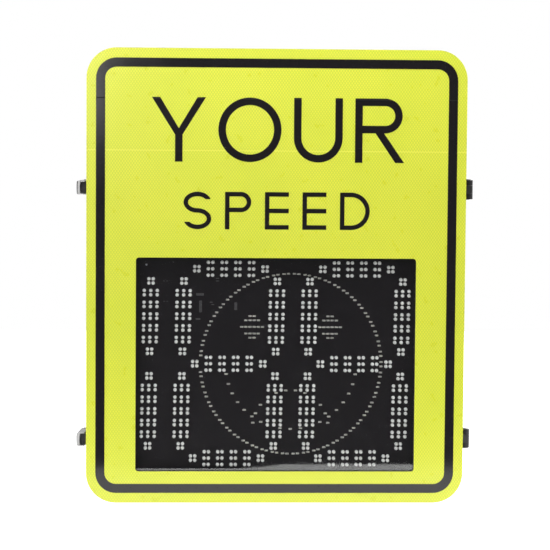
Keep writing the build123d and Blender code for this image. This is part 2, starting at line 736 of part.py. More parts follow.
with BuildPart() as housing_shell:
    with BuildSketch(behind(HOUSING_BACK)):
        case_outline()
    extrude(amount=HOUSING_BACK - HOUSING_FRONT)
    with BuildSketch(behind(HOUSING_BACK - HOUSING_REAR_WALL)):
        case_outline(inset=HOUSING_WALL)
    extrude(amount=HOUSING_BACK - HOUSING_REAR_WALL - HOUSING_FRONT - HOUSING_WALL, mode=Mode.SUBTRACT)
    with BuildSketch(behind(HOUSING_FRONT + HOUSING_WALL)):
        case_outline(inset=HOUSING_RIM)
    extrude(amount=HOUSING_WALL, mode=Mode.SUBTRACT)
    with BuildSketch(behind(HOUSING_BACK)):
        with Locations(*rail_bolt_places):
            Circle(RAIL_BOLT_D / 2 + FIT)
    extrude(amount=HOUSING_REAR_WALL, mode=Mode.SUBTRACT)
    with Locations(*[facing(x, GLAND_DEPTH, -CASE_H / 2, DOWN) for x in gland_xs]):
        Cylinder(GLAND_D / 2 + FIT, SIDE_CUT, mode=Mode.SUBTRACT)
    with Locations(facing(VENT_X, GLAND_DEPTH, -CASE_H / 2, DOWN)):
        Cylinder(VENT_D / 2 + FIT, SIDE_CUT, mode=Mode.SUBTRACT)
    with Locations(facing(EARTH_X, GLAND_DEPTH, -CASE_H / 2, DOWN)):
        Cylinder(EARTH_D / 2 + FIT, SIDE_CUT, mode=Mode.SUBTRACT)
    side_holes([(1, FRAME_LEAF_HOLE, z) for z in HINGE_HOLES] + [(-1, depth, 0) for depth in BASE_HOLES])
finish(housing_shell, "housing_shell")

with BuildPart() as door_gasket:
    with BuildSketch(behind(HOUSING_FRONT)):
        case_outline(inset=HOUSING_WALL)
        case_outline(inset=HOUSING_RIM, mode=Mode.SUBTRACT)
    extrude(amount=HOUSING_FRONT - TRAY_BACK - SEAL_GAP)
finish(door_gasket, "door_gasket")

# ---------------------------------------------------------------- mounting rails on the back
for level, rail_z in (("upper", RAIL_Z), ("lower", -RAIL_Z)):
    with BuildPart() as rail:
        half_web = RAIL_WEB / 2
        half_foot = half_web + RAIL_FLANGE
        with BuildSketch(Plane.YZ.offset(-RAIL_LENGTH / 2)):
            with BuildLine():
                Polyline(
                    (-RAIL_DEPTH, rail_z - half_foot),
                    (-RAIL_DEPTH + RAIL_SHEET, rail_z - half_foot),
                    (-RAIL_DEPTH + RAIL_SHEET, rail_z - half_web),
                    (0, rail_z - half_web),
                    (0, rail_z + half_web),
                    (-RAIL_DEPTH + RAIL_SHEET, rail_z + half_web),
                    (-RAIL_DEPTH + RAIL_SHEET, rail_z + half_foot),
                    (-RAIL_DEPTH, rail_z + half_foot),
                    (-RAIL_DEPTH, rail_z + half_web - RAIL_SHEET),
                    (-RAIL_SHEET, rail_z + half_web - RAIL_SHEET),
                    (-RAIL_SHEET, rail_z - half_web + RAIL_SHEET),
                    (-RAIL_DEPTH, rail_z - half_web + RAIL_SHEET),
                    (-RAIL_DEPTH, rail_z - half_foot),
                )
            make_face()
        extrude(amount=RAIL_LENGTH)
        with BuildSketch(Plane.XZ):
            with Locations((-POST_BOLT_X, rail_z), (POST_BOLT_X, rail_z)):
                Circle(POST_BOLT_D / 2)
        extrude(amount=RAIL_SHEET, mode=Mode.SUBTRACT)
        with BuildSketch(Plane.XZ.offset(RAIL_DEPTH)):
            with Locations(*[place for place in rail_bolt_places if place[1] * rail_z > 0]):
                Circle(RAIL_BOLT_D / 2 + FIT)
        extrude(amount=-RAIL_SHEET, mode=Mode.SUBTRACT)
        with Locations(*[(side * POST_BOLT_X, -RAIL_DEPTH / 2, rail_z) for side in (-1, 1)]):
            Box(44.0, RAIL_DEPTH - 10.0, RAIL_WEB + 10.0, mode=Mode.SUBTRACT)
    finish(rail, f"{level}_mounting_rail")

with BuildPart() as rail_bolts:
    with Locations(*[facing(x, HOUSING_BACK - HOUSING_REAR_WALL, z, FORWARDS) for x, z in rail_bolt_places]):
        add(hex_bolt(RAIL_BOLT_D, 18.0))
finish(rail_bolts, "rail_bolts")

with BuildPart() as rail_nuts:
    with Locations(*[facing(x, HOUSING_BACK + RAIL_SHEET, z, REARWARDS) for x, z in rail_bolt_places]):
        add(hex_nut(RAIL_BOLT_D))
finish(rail_nuts, "rail_nuts")

# ---------------------------------------------------------------- hinges on the right side
END_KNUCKLE = 8.6
LEAF_GAP = 2.6  # from the pin's axis to either leaf


def hinge_leaf(level, screw_depth, knuckles, direction):
    """Cast leaf: a plate on the side wall, and knuckles with their webs at the given heights."""
    near_seam = HINGE_AXIS_DEPTH + direction * LEAF_GAP
    far_edge = near_seam + direction * HINGE_LEAF_L
    plate_x = (CASE_SIDE, CASE_SIDE + HINGE_LEAF_T)
    with BuildPart() as leaf:
        with BuildSketch(Plane.XY.offset(level - HINGE_H / 2)):
            with Locations(((plate_x[0] + plate_x[1]) / 2, depth_y((near_seam + far_edge) / 2))):
                Rectangle(HINGE_LEAF_T, HINGE_LEAF_L)
        extrude(amount=HINGE_H)
        for low, high in knuckles:
            with BuildSketch(Plane.XY.offset(level + low)):
                with BuildLine():
                    Polyline(
                        (plate_x[0], depth_y(near_seam)),
                        (HINGE_AXIS_X, depth_y(near_seam)),
                        (HINGE_AXIS_X + 4.0, depth_y(near_seam + direction * 5.0)),
                        (plate_x[1], depth_y(near_seam + direction * 12.0)),
                        (plate_x[0], depth_y(near_seam + direction * 12.0)),
                        (plate_x[0], depth_y(near_seam)),
                    )
                make_face()
                with Locations((HINGE_AXIS_X, depth_y(HINGE_AXIS_DEPTH))):
                    Circle(HINGE_KNUCKLE_D / 2)
            extrude(amount=high - low)
        with Locations((HINGE_AXIS_X, depth_y(HINGE_AXIS_DEPTH), level)):
            Cylinder(HINGE_PIN_D / 2 + THREAD_FIT, HINGE_H + 2, mode=Mode.SUBTRACT)
        with Locations(*[facing(CASE_SIDE, screw_depth, level + z, OUT_RIGHT) for z in HINGE_HOLES]):
            Cylinder(SIDE_SCREW_HOLE / 2, SIDE_CUT, mode=Mode.SUBTRACT)
    return leaf


half_hinge = HINGE_H / 2
middle_knuckle = [(-half_hinge + END_KNUCKLE + KNUCKLE_GAP, half_hinge - END_KNUCKLE - KNUCKLE_GAP)]
end_knuckles = [(-half_hinge, -half_hinge + END_KNUCKLE), (half_hinge - END_KNUCKLE, half_hinge)]
for name, level in FITTING_HEIGHTS.items():
    finish(hinge_leaf(level, DOOR_LEAF_HOLE, middle_knuckle, -1), f"{name}_hinge_door_leaf")
    finish(hinge_leaf(level, FRAME_LEAF_HOLE, end_knuckles, 1), f"{name}_hinge_frame_leaf")

with BuildPart() as hinge_pins:
    with Locations(*[(HINGE_AXIS_X, depth_y(HINGE_AXIS_DEPTH), level) for level in FITTING_HEIGHTS.values()]):
        Cylinder(HINGE_PIN_D / 2, HINGE_H + 1.6)
        with Locations((0, 0, half_hinge + 0.8)):
            Cylinder(HINGE_PIN_D / 2 + 1.5, 1.6)
finish(hinge_pins, "hinge_pins")


# ---------------------------------------------------------------- spring clip latches on the left side
LATCH_HALF = LATCH_W / 2
PIN_HEAD_T = 0.9


def crown_drop(half_width):
    """How far the latch's arched crown falls from its middle to half_width."""
    radius = (LATCH_HALF**2 + LATCH_CROWN_RISE**2) / (2 * LATCH_CROWN_RISE)
    return radius - sqrt(radius**2 - half_width**2)


def arched_outline(half_width, crown, foot, mode=Mode.ADD):
    """Upright sides and rounded shoulders under an arched crown: x is across the latch, y is outwards."""
    shoulder_r = LATCH_SHOULDER_R - (LATCH_HALF - half_width)
    crown_end = half_width - shoulder_r
    crown_foot = crown - crown_drop(crown_end)
    side_top = crown_foot - shoulder_r
    bulge = shoulder_r * cos(radians(45))
    with BuildLine() as outline:
        ThreePointArc((-crown_end, crown_foot), (0, crown), (crown_end, crown_foot))
        ThreePointArc(
            (crown_end, crown_foot), (crown_end + bulge, side_top + bulge), (half_width, side_top)
        )
        Polyline((half_width, side_top), (half_width, foot), (-half_width, foot), (-half_width, side_top))
        ThreePointArc(
            (-half_width, side_top), (-crown_end - bulge, side_top + bulge), (-crown_end, crown_foot)
        )
    make_face(outline.edges(), mode=mode)


def wall_section(level, depth):
    """Section plane across a left-side fitting: x is up, y is outwards from the wall, z is forwards."""
    return Plane(origin=(-CASE_SIDE, depth_y(depth), level), x_dir=(0, 0, 1), z_dir=FORWARDS)


LATCH_BODY_HALF = LATCH_HALF - LATCH_SHEET - 0.6
LUG_HALF = 7.5
LUG_R = 4.8
EYE_R = 5.0
FLANGE_FOOT = -4.5
NOSE_ROUND = 2.8
NOSE_FOOT = LATCH_CROWN - LATCH_NOSE_D - crown_drop(LATCH_HALF)
nose_bulge = NOSE_ROUND * (1 - cos(radians(45)))
BASE_FRONT, BASE_REAR = 61.0, 101.0  # depths of the base's two ends
KEEPER_FRONT, KEEPER_FOOT_FRONT = 37.3, 16.0  # depths
KEEPER_TOP = LATCH_PIVOT_OUT + LATCH_CROWN - LATCH_SHEET - 0.5
FOOT_T = 2.5
lift_sin, lift_cos = sin(radians(LATCH_LIFT)), cos(radians(LATCH_LIFT))
CLIP_FORWARD = (-lift_sin, -lift_cos, 0)

for name, level in FITTING_HEIGHTS.items():
    pivot = (-CASE_SIDE - LATCH_PIVOT_OUT, depth_y(LATCH_PIVOT_DEPTH), level)
    clip_section = Plane(origin=pivot, x_dir=(0, 0, 1), z_dir=CLIP_FORWARD)
    clip_side = Plane(origin=pivot, x_dir=CLIP_FORWARD, z_dir=DOWN)
    with BuildPart() as clip:
        with BuildSketch(clip_section.offset(-EYE_R)):
            arched_outline(LATCH_HALF, LATCH_CROWN, -EYE_R)
            arched_outline(LATCH_HALF - LATCH_SHEET, LATCH_CROWN - LATCH_SHEET, -EYE_R, mode=Mode.SUBTRACT)
        extrude(amount=EYE_R + LATCH_LENGTH)
        with BuildSketch(clip_section.offset(LATCH_LENGTH)):
            arched_outline(LATCH_HALF, LATCH_CROWN, -EYE_R)
            left_foot, right_foot = (-LATCH_HALF, NOSE_FOOT), (LATCH_HALF, NOSE_FOOT)
            with BuildLine() as nose_underside:
                ThreePointArc(left_foot, (0, LATCH_CROWN - LATCH_NOSE_D), right_foot)
                Polyline(right_foot, (LATCH_HALF, -EYE_R), (-LATCH_HALF, -EYE_R), left_foot)
            make_face(nose_underside.edges(), mode=Mode.SUBTRACT)
        extrude(amount=-LATCH_NOSE_D)
        with BuildSketch(clip_side):
            with BuildLine() as side_profile:
                ThreePointArc(
                    (LATCH_LENGTH - NOSE_ROUND, LATCH_CROWN),
                    (LATCH_LENGTH - nose_bulge, LATCH_CROWN - nose_bulge),
                    (LATCH_LENGTH, LATCH_CROWN - NOSE_ROUND),
                )
                Polyline(
                    (LATCH_LENGTH, LATCH_CROWN - NOSE_ROUND),
                    (LATCH_LENGTH, FLANGE_FOOT),
                    (0, -EYE_R),
                    (-EYE_R, 0),
                    (-EYE_R, 1),
                    (-1, LATCH_CROWN + 1),
                    (LATCH_LENGTH - NOSE_ROUND, LATCH_CROWN + 1),
                    (LATCH_LENGTH - NOSE_ROUND, LATCH_CROWN),
                )
            make_face(side_profile.edges())
            Circle(EYE_R)
        extrude(amount=LATCH_W, both=True, mode=Mode.INTERSECT)
        with BuildSketch(clip_side):
            Circle(LATCH_PIN_D / 2 + THREAD_FIT)
        extrude(amount=LATCH_W, both=True, mode=Mode.SUBTRACT)
    finish(clip, f"{name}_latch_clip")

    with BuildPart() as base:
        with BuildSketch(wall_section(level, BASE_REAR)):
            with Locations((0, FOOT_T / 2)):
                Rectangle(2 * LATCH_BODY_HALF, FOOT_T)
        extrude(amount=BASE_REAR - BASE_FRONT)
        with BuildSketch(Plane.XY.offset(level - LUG_HALF)):
            with Locations(pivot[:2]):
                Circle(LUG_R)
            with Locations((-CASE_SIDE - LATCH_PIVOT_OUT / 2, pivot[1])):
                Rectangle(LATCH_PIVOT_OUT, 2 * LUG_R)
        extrude(amount=2 * LUG_HALF)
        with Locations(pivot):
            Cylinder(LATCH_PIN_D / 2, 2 * LUG_HALF, mode=Mode.SUBTRACT)
        with Locations(*[facing(-CASE_SIDE, depth, level, OUT_LEFT) for depth in BASE_HOLES]):
            Cylinder(SIDE_SCREW_HOLE / 2, SIDE_CUT, mode=Mode.SUBTRACT)
    finish(base, f"{name}_latch_base")

    with BuildPart() as keeper:
        with BuildSketch(wall_section(level, TRAY_BACK)):
            arched_outline(LATCH_BODY_HALF, KEEPER_TOP, 0)
        extrude(amount=TRAY_BACK - KEEPER_FRONT)
        with BuildSketch(wall_section(level, KEEPER_FRONT)):
            with Locations((0, FOOT_T / 2)):
                Rectangle(2 * LATCH_BODY_HALF, FOOT_T)
        extrude(amount=KEEPER_FRONT - KEEPER_FOOT_FRONT)
        with Locations(*[facing(-CASE_SIDE, depth, level, OUT_LEFT) for depth in KEEPER_HOLES]):
            Cylinder(SIDE_SCREW_HOLE / 2, SIDE_CUT, mode=Mode.SUBTRACT)
    finish(keeper, f"{name}_latch_keeper")

with BuildPart() as latch_pins:
    pivot_xy = (-CASE_SIDE - LATCH_PIVOT_OUT, depth_y(LATCH_PIVOT_DEPTH))
    with Locations(*[(*pivot_xy, level) for level in FITTING_HEIGHTS.values()]):
        Cylinder(LATCH_PIN_D / 2, LATCH_W + 1.2)
        for side in (-1, 1):
            with Locations((0, 0, side * (LATCH_HALF + 0.5))):
                Cylinder(LATCH_PIN_D / 2 + 0.8, PIN_HEAD_T)
finish(latch_pins, "latch_pins")


# ---------------------------------------------------------------- screws that hold the side fittings
def side_screws(places):
    """Pan screws and nuts at (side, depth, height, thickness of the fitting, thickness of the wall)."""
    with BuildPart() as screws:
        for side, depth, z, fitting_t, wall_t in places:
            with Locations(facing(side * (CASE_SIDE + fitting_t), depth, z, (side, 0, 0))):
                add(pan_screw(SIDE_SCREW_D, fitting_t + wall_t + SIDE_SCREW_D))
            with Locations(facing(side * (CASE_SIDE - wall_t), depth, z, (-side, 0, 0))):
                add(hex_nut(SIDE_SCREW_D))
    return screws


door_places = []
housing_places = []
for level in FITTING_HEIGHTS.values():
    for offset in HINGE_HOLES:
        door_places.append((1, DOOR_LEAF_HOLE, level + offset, HINGE_LEAF_T, SHEET_T))
        housing_places.append((1, FRAME_LEAF_HOLE, level + offset, HINGE_LEAF_T, HOUSING_WALL))
    for depth in KEEPER_HOLES:
        door_places.append((-1, depth, level, FOOT_T, SHEET_T))
    for depth in BASE_HOLES:
        housing_places.append((-1, depth, level, FOOT_T, HOUSING_WALL))
finish(side_screws(door_places), "door_fitting_screws")
finish(side_screws(housing_places), "housing_fitting_screws")

# ---------------------------------------------------------------- batteries
BATTERY_BACK = HOUSING_BACK - HOUSING_REAR_WALL - 2.0
TRAY_SHEET = 2.0
BATTERY_BOTTOM = BOTTOM_INSIDE + 14.0
BATTERY_GAP = 8.0
BATTERY_OFFSET = (BATTERY_W + BATTERY_GAP) / 2
battery_centres = {"left_battery": -BATTERY_OFFSET, "right_battery": BATTERY_OFFSET}
LID_H, LID_INSET = 7.0, 4.0  # terminals and lid on top of the battery case
TRAY_HALF = BATTERY_W + BATTERY_GAP / 2 + 3.0
TRAY_FRONT_H, TRAY_BACK_H = 18.0, 40.0
STRAP_EAR = 18.0

with BuildPart() as battery_tray:
    tray_back_y = depth_y(BATTERY_BACK + 2.0)
    tray_front_y = depth_y(BATTERY_BACK - BATTERY_D - 3.0)
    with BuildSketch(Plane.YZ.offset(-TRAY_HALF)):
        with BuildLine():
            Polyline(
                (tray_back_y, BATTERY_BOTTOM - TRAY_SHEET),
                (tray_front_y, BATTERY_BOTTOM - TRAY_SHEET),
                (tray_front_y, BATTERY_BOTTOM + TRAY_FRONT_H),
                (tray_front_y + TRAY_SHEET, BATTERY_BOTTOM + TRAY_FRONT_H),
                (tray_front_y + TRAY_SHEET, BATTERY_BOTTOM),
                (tray_back_y - TRAY_SHEET, BATTERY_BOTTOM),
                (tray_back_y - TRAY_SHEET, BATTERY_BOTTOM + TRAY_BACK_H),
                (tray_back_y, BATTERY_BOTTOM + TRAY_BACK_H),
                (tray_back_y, BATTERY_BOTTOM - TRAY_SHEET),
            )
        make_face()
    extrude(amount=2 * TRAY_HALF)
finish(battery_tray, "battery_tray")

for name, x in battery_centres.items():
    middle_y = depth_y(BATTERY_BACK - BATTERY_D / 2 - 0.5)
    with BuildPart() as battery:
        with Locations((x, middle_y, BATTERY_BOTTOM)):
            Box(BATTERY_W, BATTERY_D, BATTERY_H - LID_H, align=OVER)
        fillet(battery.edges().filter_by(Axis.Z), 3.0)
        with Locations((x, middle_y, BATTERY_BOTTOM + BATTERY_H - LID_H)):
            Box(BATTERY_W - 2 * LID_INSET, BATTERY_D - 2 * LID_INSET, 3.0, align=OVER)
            for side in (-1, 1):
                with Locations((side * (BATTERY_W / 2 - 16.0), 0, 0)):
                    Box(12.0, 14.0, LID_H, align=OVER)
    finish(battery, name)

STRAP_T, STRAP_W = 1.5, 30.0
STRAP_Z = BATTERY_BOTTOM + 95.0
with BuildPart() as battery_strap:
    outer_half = TRAY_HALF + STRAP_T
    strap_back = depth_y(HOUSING_BACK - HOUSING_REAR_WALL)
    strap_front = depth_y(BATTERY_BACK - BATTERY_D - 1.0)
    with BuildSketch(Plane.XY.offset(STRAP_Z)):
        with BuildLine():
            Polyline(
                (-outer_half - STRAP_EAR, strap_back),
                (-outer_half - STRAP_EAR, strap_back - STRAP_T),
                (-outer_half, strap_back - STRAP_T),
                (-outer_half, strap_front - STRAP_T),
                (outer_half, strap_front - STRAP_T),
                (outer_half, strap_back - STRAP_T),
                (outer_half + STRAP_EAR, strap_back - STRAP_T),
                (outer_half + STRAP_EAR, strap_back),
                (outer_half - STRAP_T, strap_back),
                (outer_half - STRAP_T, strap_front),
                (-outer_half + STRAP_T, strap_front),
                (-outer_half + STRAP_T, strap_back),
                (-outer_half - STRAP_EAR, strap_back),
            )
        make_face()
    extrude(amount=STRAP_W)
finish(battery_strap, "battery_strap")

# ---------------------------------------------------------------- charge controller, rail and breaker
WALL_DEPTH = HOUSING_BACK - HOUSING_REAR_WALL
CHARGER_XZ = (-140.0, 110.0)
CHARGER_W, CHARGER_H, CHARGER_D = 150.0, 92.0, 34.0
with BuildPart() as charge_controller:
    with BuildSketch(behind(WALL_DEPTH)):
        with Locations(CHARGER_XZ):
            RectangleRounded(CHARGER_W + 24.0, CHARGER_H - 30.0, 5.0)
            with Locations((-CHARGER_W / 2 - 6.0, 0), (CHARGER_W / 2 + 6.0, 0)):
                Circle(2.3, mode=Mode.SUBTRACT)
    extrude(amount=3.0)
    with BuildSketch(behind(WALL_DEPTH)):
        with Locations(CHARGER_XZ):
            RectangleRounded(CHARGER_W, CHARGER_H, 6.0)
    extrude(amount=CHARGER_D)
    fillet(charge_controller.edges().group_by(Axis.Y)[0], 2.5)
    with BuildSketch(behind(WALL_DEPTH - CHARGER_D + 1.2)):
        with Locations((CHARGER_XZ[0], CHARGER_XZ[1] + 12.0)):
            RectangleRounded(60.0, 30.0, 3.0)
    extrude(amount=1.2, mode=Mode.SUBTRACT)
    with BuildSketch(behind(WALL_DEPTH - CHARGER_D + 12.0)):
        with Locations((CHARGER_XZ[0], CHARGER_XZ[1] - CHARGER_H / 2 + 7.0)):
            with GridLocations(20.0, 1.0, 6, 1):
                Rectangle(14.0, 9.0)
    extrude(amount=12.0, mode=Mode.SUBTRACT)
finish(charge_controller, "charge_controller")

DIN_XZ = (120.0, 130.0)
DIN_L, DIN_W, DIN_D, DIN_SHEET = 170.0, 35.0, 7.5, 1.0
with BuildPart() as din_rail:
    with BuildSketch(Plane.YZ.offset(DIN_XZ[0] - DIN_L / 2)):
        back_y, front_y = depth_y(WALL_DEPTH), depth_y(WALL_DEPTH - DIN_D)
        z = DIN_XZ[1]
        with BuildLine():
            Polyline(
                (back_y, z - 12.5),
                (back_y, z + 12.5),
                (front_y + DIN_SHEET, z + 12.5),
                (front_y + DIN_SHEET, z + DIN_W / 2),
                (front_y, z + DIN_W / 2),
                (front_y, z + 11.5),
                (back_y - DIN_SHEET, z + 11.5),
                (back_y - DIN_SHEET, z - 11.5),
                (front_y, z - 11.5),
                (front_y, z - DIN_W / 2),
                (front_y + DIN_SHEET, z - DIN_W / 2),
                (front_y + DIN_SHEET, z - 12.5),
                (back_y, z - 12.5),
            )
        make_face()
    extrude(amount=DIN_L)
finish(din_rail, "din_rail")

BREAKER_X, BREAKER_W, BREAKER_H = 75.0, 36.0, 82.0
BREAKER_BACK = WALL_DEPTH - DIN_D
NOSE_D, BODY_D = 62.0, 44.0
NOSE_H = 45.0
TOGGLE_SLOT_W, TOGGLE_SLOT_HALF, TOGGLE_W = 26.0, 9.8, 25.0
TOGGLE_R = 7.0
TOGGLE_DEPTH = BREAKER_BACK - NOSE_D + 6.0
TOGGLE_SLOT_D = 7.0
TERMINAL_HOLE_R, TERMINAL_HOLE_D = 4.0, 12.0
with BuildPart() as battery_breaker:
    with BuildSketch(behind(BREAKER_BACK)):
        with Locations((BREAKER_X, DIN_XZ[1])):
            RectangleRounded(BREAKER_W, BREAKER_H, 1.5)
    extrude(amount=BODY_D)
    with BuildSketch(behind(BREAKER_BACK - BODY_D)):
        with Locations((BREAKER_X, DIN_XZ[1])):
            RectangleRounded(BREAKER_W, NOSE_H, 1.5)
    extrude(amount=NOSE_D - BODY_D)
    with Locations(facing(BREAKER_X, TOGGLE_DEPTH, DIN_XZ[1], OUT_RIGHT)):
        Cylinder(TOGGLE_R + 0.5, TOGGLE_SLOT_W, mode=Mode.SUBTRACT)
    with BuildSketch(behind(BREAKER_BACK - NOSE_D + TOGGLE_SLOT_D)):
        with Locations((BREAKER_X, DIN_XZ[1])):
            Rectangle(TOGGLE_SLOT_W, 2 * TOGGLE_SLOT_HALF)
    extrude(amount=TOGGLE_SLOT_D, mode=Mode.SUBTRACT)
    with BuildSketch(behind(BREAKER_BACK - BODY_D + TERMINAL_HOLE_D)):
        for side in (-1, 1):
            with Locations((BREAKER_X, DIN_XZ[1] + side * (BREAKER_H / 2 - 9.0))):
                with GridLocations(18.0, 1.0, 2, 1):
                    Circle(TERMINAL_HOLE_R)
    extrude(amount=TERMINAL_HOLE_D, mode=Mode.SUBTRACT)
finish(battery_breaker, "battery_breaker")

LEVER_LENGTH, LEVER_T = 17.0, 5.0
TOGGLE_REST = 38.0  # degrees below level: off
with BuildPart() as breaker_toggle:
    toggle_axis = facing(BREAKER_X, TOGGLE_DEPTH, DIN_XZ[1], OUT_RIGHT)
    with Locations(toggle_axis):
        Cylinder(TOGGLE_R, TOGGLE_W)
    lever_dir = (0, -cos(radians(TOGGLE_REST)), -sin(radians(TOGGLE_REST)))
    with BuildSketch(Plane(origin=toggle_axis.origin, x_dir=(1, 0, 0), z_dir=lever_dir)):
        Rectangle(TOGGLE_W - 5.0, LEVER_T)
    extrude(amount=LEVER_LENGTH, taper=2.0)
finish(breaker_toggle, "breaker_toggle")

TERMINAL_PITCH, TERMINALS = 6.0, 10
FIRST_TERMINAL_X = 125.0
with BuildPart() as terminal_blocks:
    for index in range(TERMINALS):
        x = FIRST_TERMINAL_X + index * TERMINAL_PITCH
        with BuildSketch(Plane.YZ.offset(x)):
            with BuildLine():
                back_y = depth_y(BREAKER_BACK)
                Polyline(
                    (back_y, DIN_XZ[1] - 24.0),
                    (back_y, DIN_XZ[1] + 24.0),
                    (back_y - 22.0, DIN_XZ[1] + 24.0),
                    (back_y - 34.0, DIN_XZ[1] + 12.0),
                    (back_y - 34.0, DIN_XZ[1] - 12.0),
                    (back_y - 22.0, DIN_XZ[1] - 24.0),
                    (back_y, DIN_XZ[1] - 24.0),
                )
            make_face()
        extrude(amount=TERMINAL_PITCH - 0.6)
finish(terminal_blocks, "terminal_blocks")

# ---------------------------------------------------------------- bottom wall: glands, vent and earth
CASE_BOTTOM = -CASE_H / 2
GLAND_WASHER_T, GLAND_HEX_H, GLAND_CAP_H = 1.5, 7.0, 10.0
gland_spots = [(x, depth_y(GLAND_DEPTH)) for x in gland_xs]
with BuildPart() as cable_glands:
    with Locations(*[facing(x, GLAND_DEPTH, CASE_BOTTOM, DOWN) for x in gland_xs]):
        Cylinder(GLAND_D / 2, HOUSING_WALL + 6.5, align=UNDER)
        Cylinder(12.0, GLAND_WASHER_T, align=OVER)
    with BuildSketch(Plane.XY.offset(CASE_BOTTOM - GLAND_WASHER_T)):
        with Locations(*gland_spots):
            RegularPolygon(13.0, 6)
    extrude(amount=-GLAND_HEX_H)
    with BuildSketch(Plane.XY.offset(CASE_BOTTOM - GLAND_WASHER_T - GLAND_HEX_H)):
        with Locations(*gland_spots):
            Circle(11.0)
    extrude(amount=-GLAND_CAP_H, taper=12.0)
    with Locations(*[facing(x, GLAND_DEPTH, CASE_BOTTOM, DOWN) for x in gland_xs]):
        Cylinder(SEAL_BORE / 2, 80.0, mode=Mode.SUBTRACT)
    with Locations(*[facing(x, GLAND_DEPTH, CASE_BOTTOM - 1.0, DOWN) for x in gland_xs]):
        Cylinder(STEM_BORE / 2, 40.0, align=UNDER, mode=Mode.SUBTRACT)
finish(cable_glands, "cable_glands")

with BuildPart() as gland_locknuts:
    with BuildSketch(Plane.XY.offset(BOTTOM_INSIDE)):
        with Locations(*gland_spots):
            RegularPolygon(13.5, 6)
            Circle(GLAND_D / 2 + THREAD_FIT, mode=Mode.SUBTRACT)
    extrude(amount=5.0)
finish(gland_locknuts, "gland_locknuts")

with BuildPart() as vent_plug:
    with Locations(facing(VENT_X, GLAND_DEPTH, CASE_BOTTOM, DOWN)):
        Cylinder(VENT_D / 2, HOUSING_WALL + 6.0, align=UNDER)
        Cylinder(9.0, 6.0, align=OVER)
    fillet(vent_plug.edges().sort_by(Axis.Z)[0], 2.0)
finish(vent_plug, "vent_plug")

with BuildPart() as earth_stud:
    with Locations(facing(EARTH_X, GLAND_DEPTH, CASE_BOTTOM, DOWN)):
        Cylinder(EARTH_D / 2, HOUSING_WALL + 8.0, align=UNDER)
        Cylinder(EARTH_D / 2, 14.0, align=OVER)
    with BuildSketch(Plane.XY.offset(CASE_BOTTOM)):
        with Locations((EARTH_X, depth_y(GLAND_DEPTH))):
            RegularPolygon(5.6, 6)
    extrude(amount=-4.5)
finish(earth_stud, "earth_stud")

# ---------------------------------------------------------------- export
os.makedirs("parts", exist_ok=True)
for name, part in finished.items():
    export_step(part, f"parts/{name}.step")
print(len(finished), "sub-parts written")
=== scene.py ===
"""A solar speed sign: looks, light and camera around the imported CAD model."""

import json
import math

import bpy
from mathutils import Matrix, Vector


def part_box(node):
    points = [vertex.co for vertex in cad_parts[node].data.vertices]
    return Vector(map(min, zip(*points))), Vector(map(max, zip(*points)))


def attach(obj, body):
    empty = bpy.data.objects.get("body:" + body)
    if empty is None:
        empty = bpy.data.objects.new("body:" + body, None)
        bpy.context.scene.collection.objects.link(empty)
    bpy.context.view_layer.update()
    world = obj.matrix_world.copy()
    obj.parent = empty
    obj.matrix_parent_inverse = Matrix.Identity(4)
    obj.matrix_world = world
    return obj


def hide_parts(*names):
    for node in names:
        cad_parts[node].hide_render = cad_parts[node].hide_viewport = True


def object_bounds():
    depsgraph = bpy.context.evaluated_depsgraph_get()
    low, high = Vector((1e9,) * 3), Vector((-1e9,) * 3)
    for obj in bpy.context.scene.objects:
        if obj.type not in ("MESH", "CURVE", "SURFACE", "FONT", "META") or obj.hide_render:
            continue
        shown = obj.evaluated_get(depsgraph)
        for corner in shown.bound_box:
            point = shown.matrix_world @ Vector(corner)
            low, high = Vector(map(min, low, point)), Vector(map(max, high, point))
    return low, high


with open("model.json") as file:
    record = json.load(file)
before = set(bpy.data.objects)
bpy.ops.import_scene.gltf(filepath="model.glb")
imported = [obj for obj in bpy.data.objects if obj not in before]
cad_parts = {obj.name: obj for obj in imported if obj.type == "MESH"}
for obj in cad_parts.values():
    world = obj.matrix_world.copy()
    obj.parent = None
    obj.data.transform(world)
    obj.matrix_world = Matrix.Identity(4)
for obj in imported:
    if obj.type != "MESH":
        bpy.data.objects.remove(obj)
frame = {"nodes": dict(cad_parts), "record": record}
cad_low, cad_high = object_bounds()

MM = 0.001

# ---------------------------------------------------------------- material tools

NOISE_SPAN = (0.3, 0.7)  # nearly all of a noise texture's values lie between these


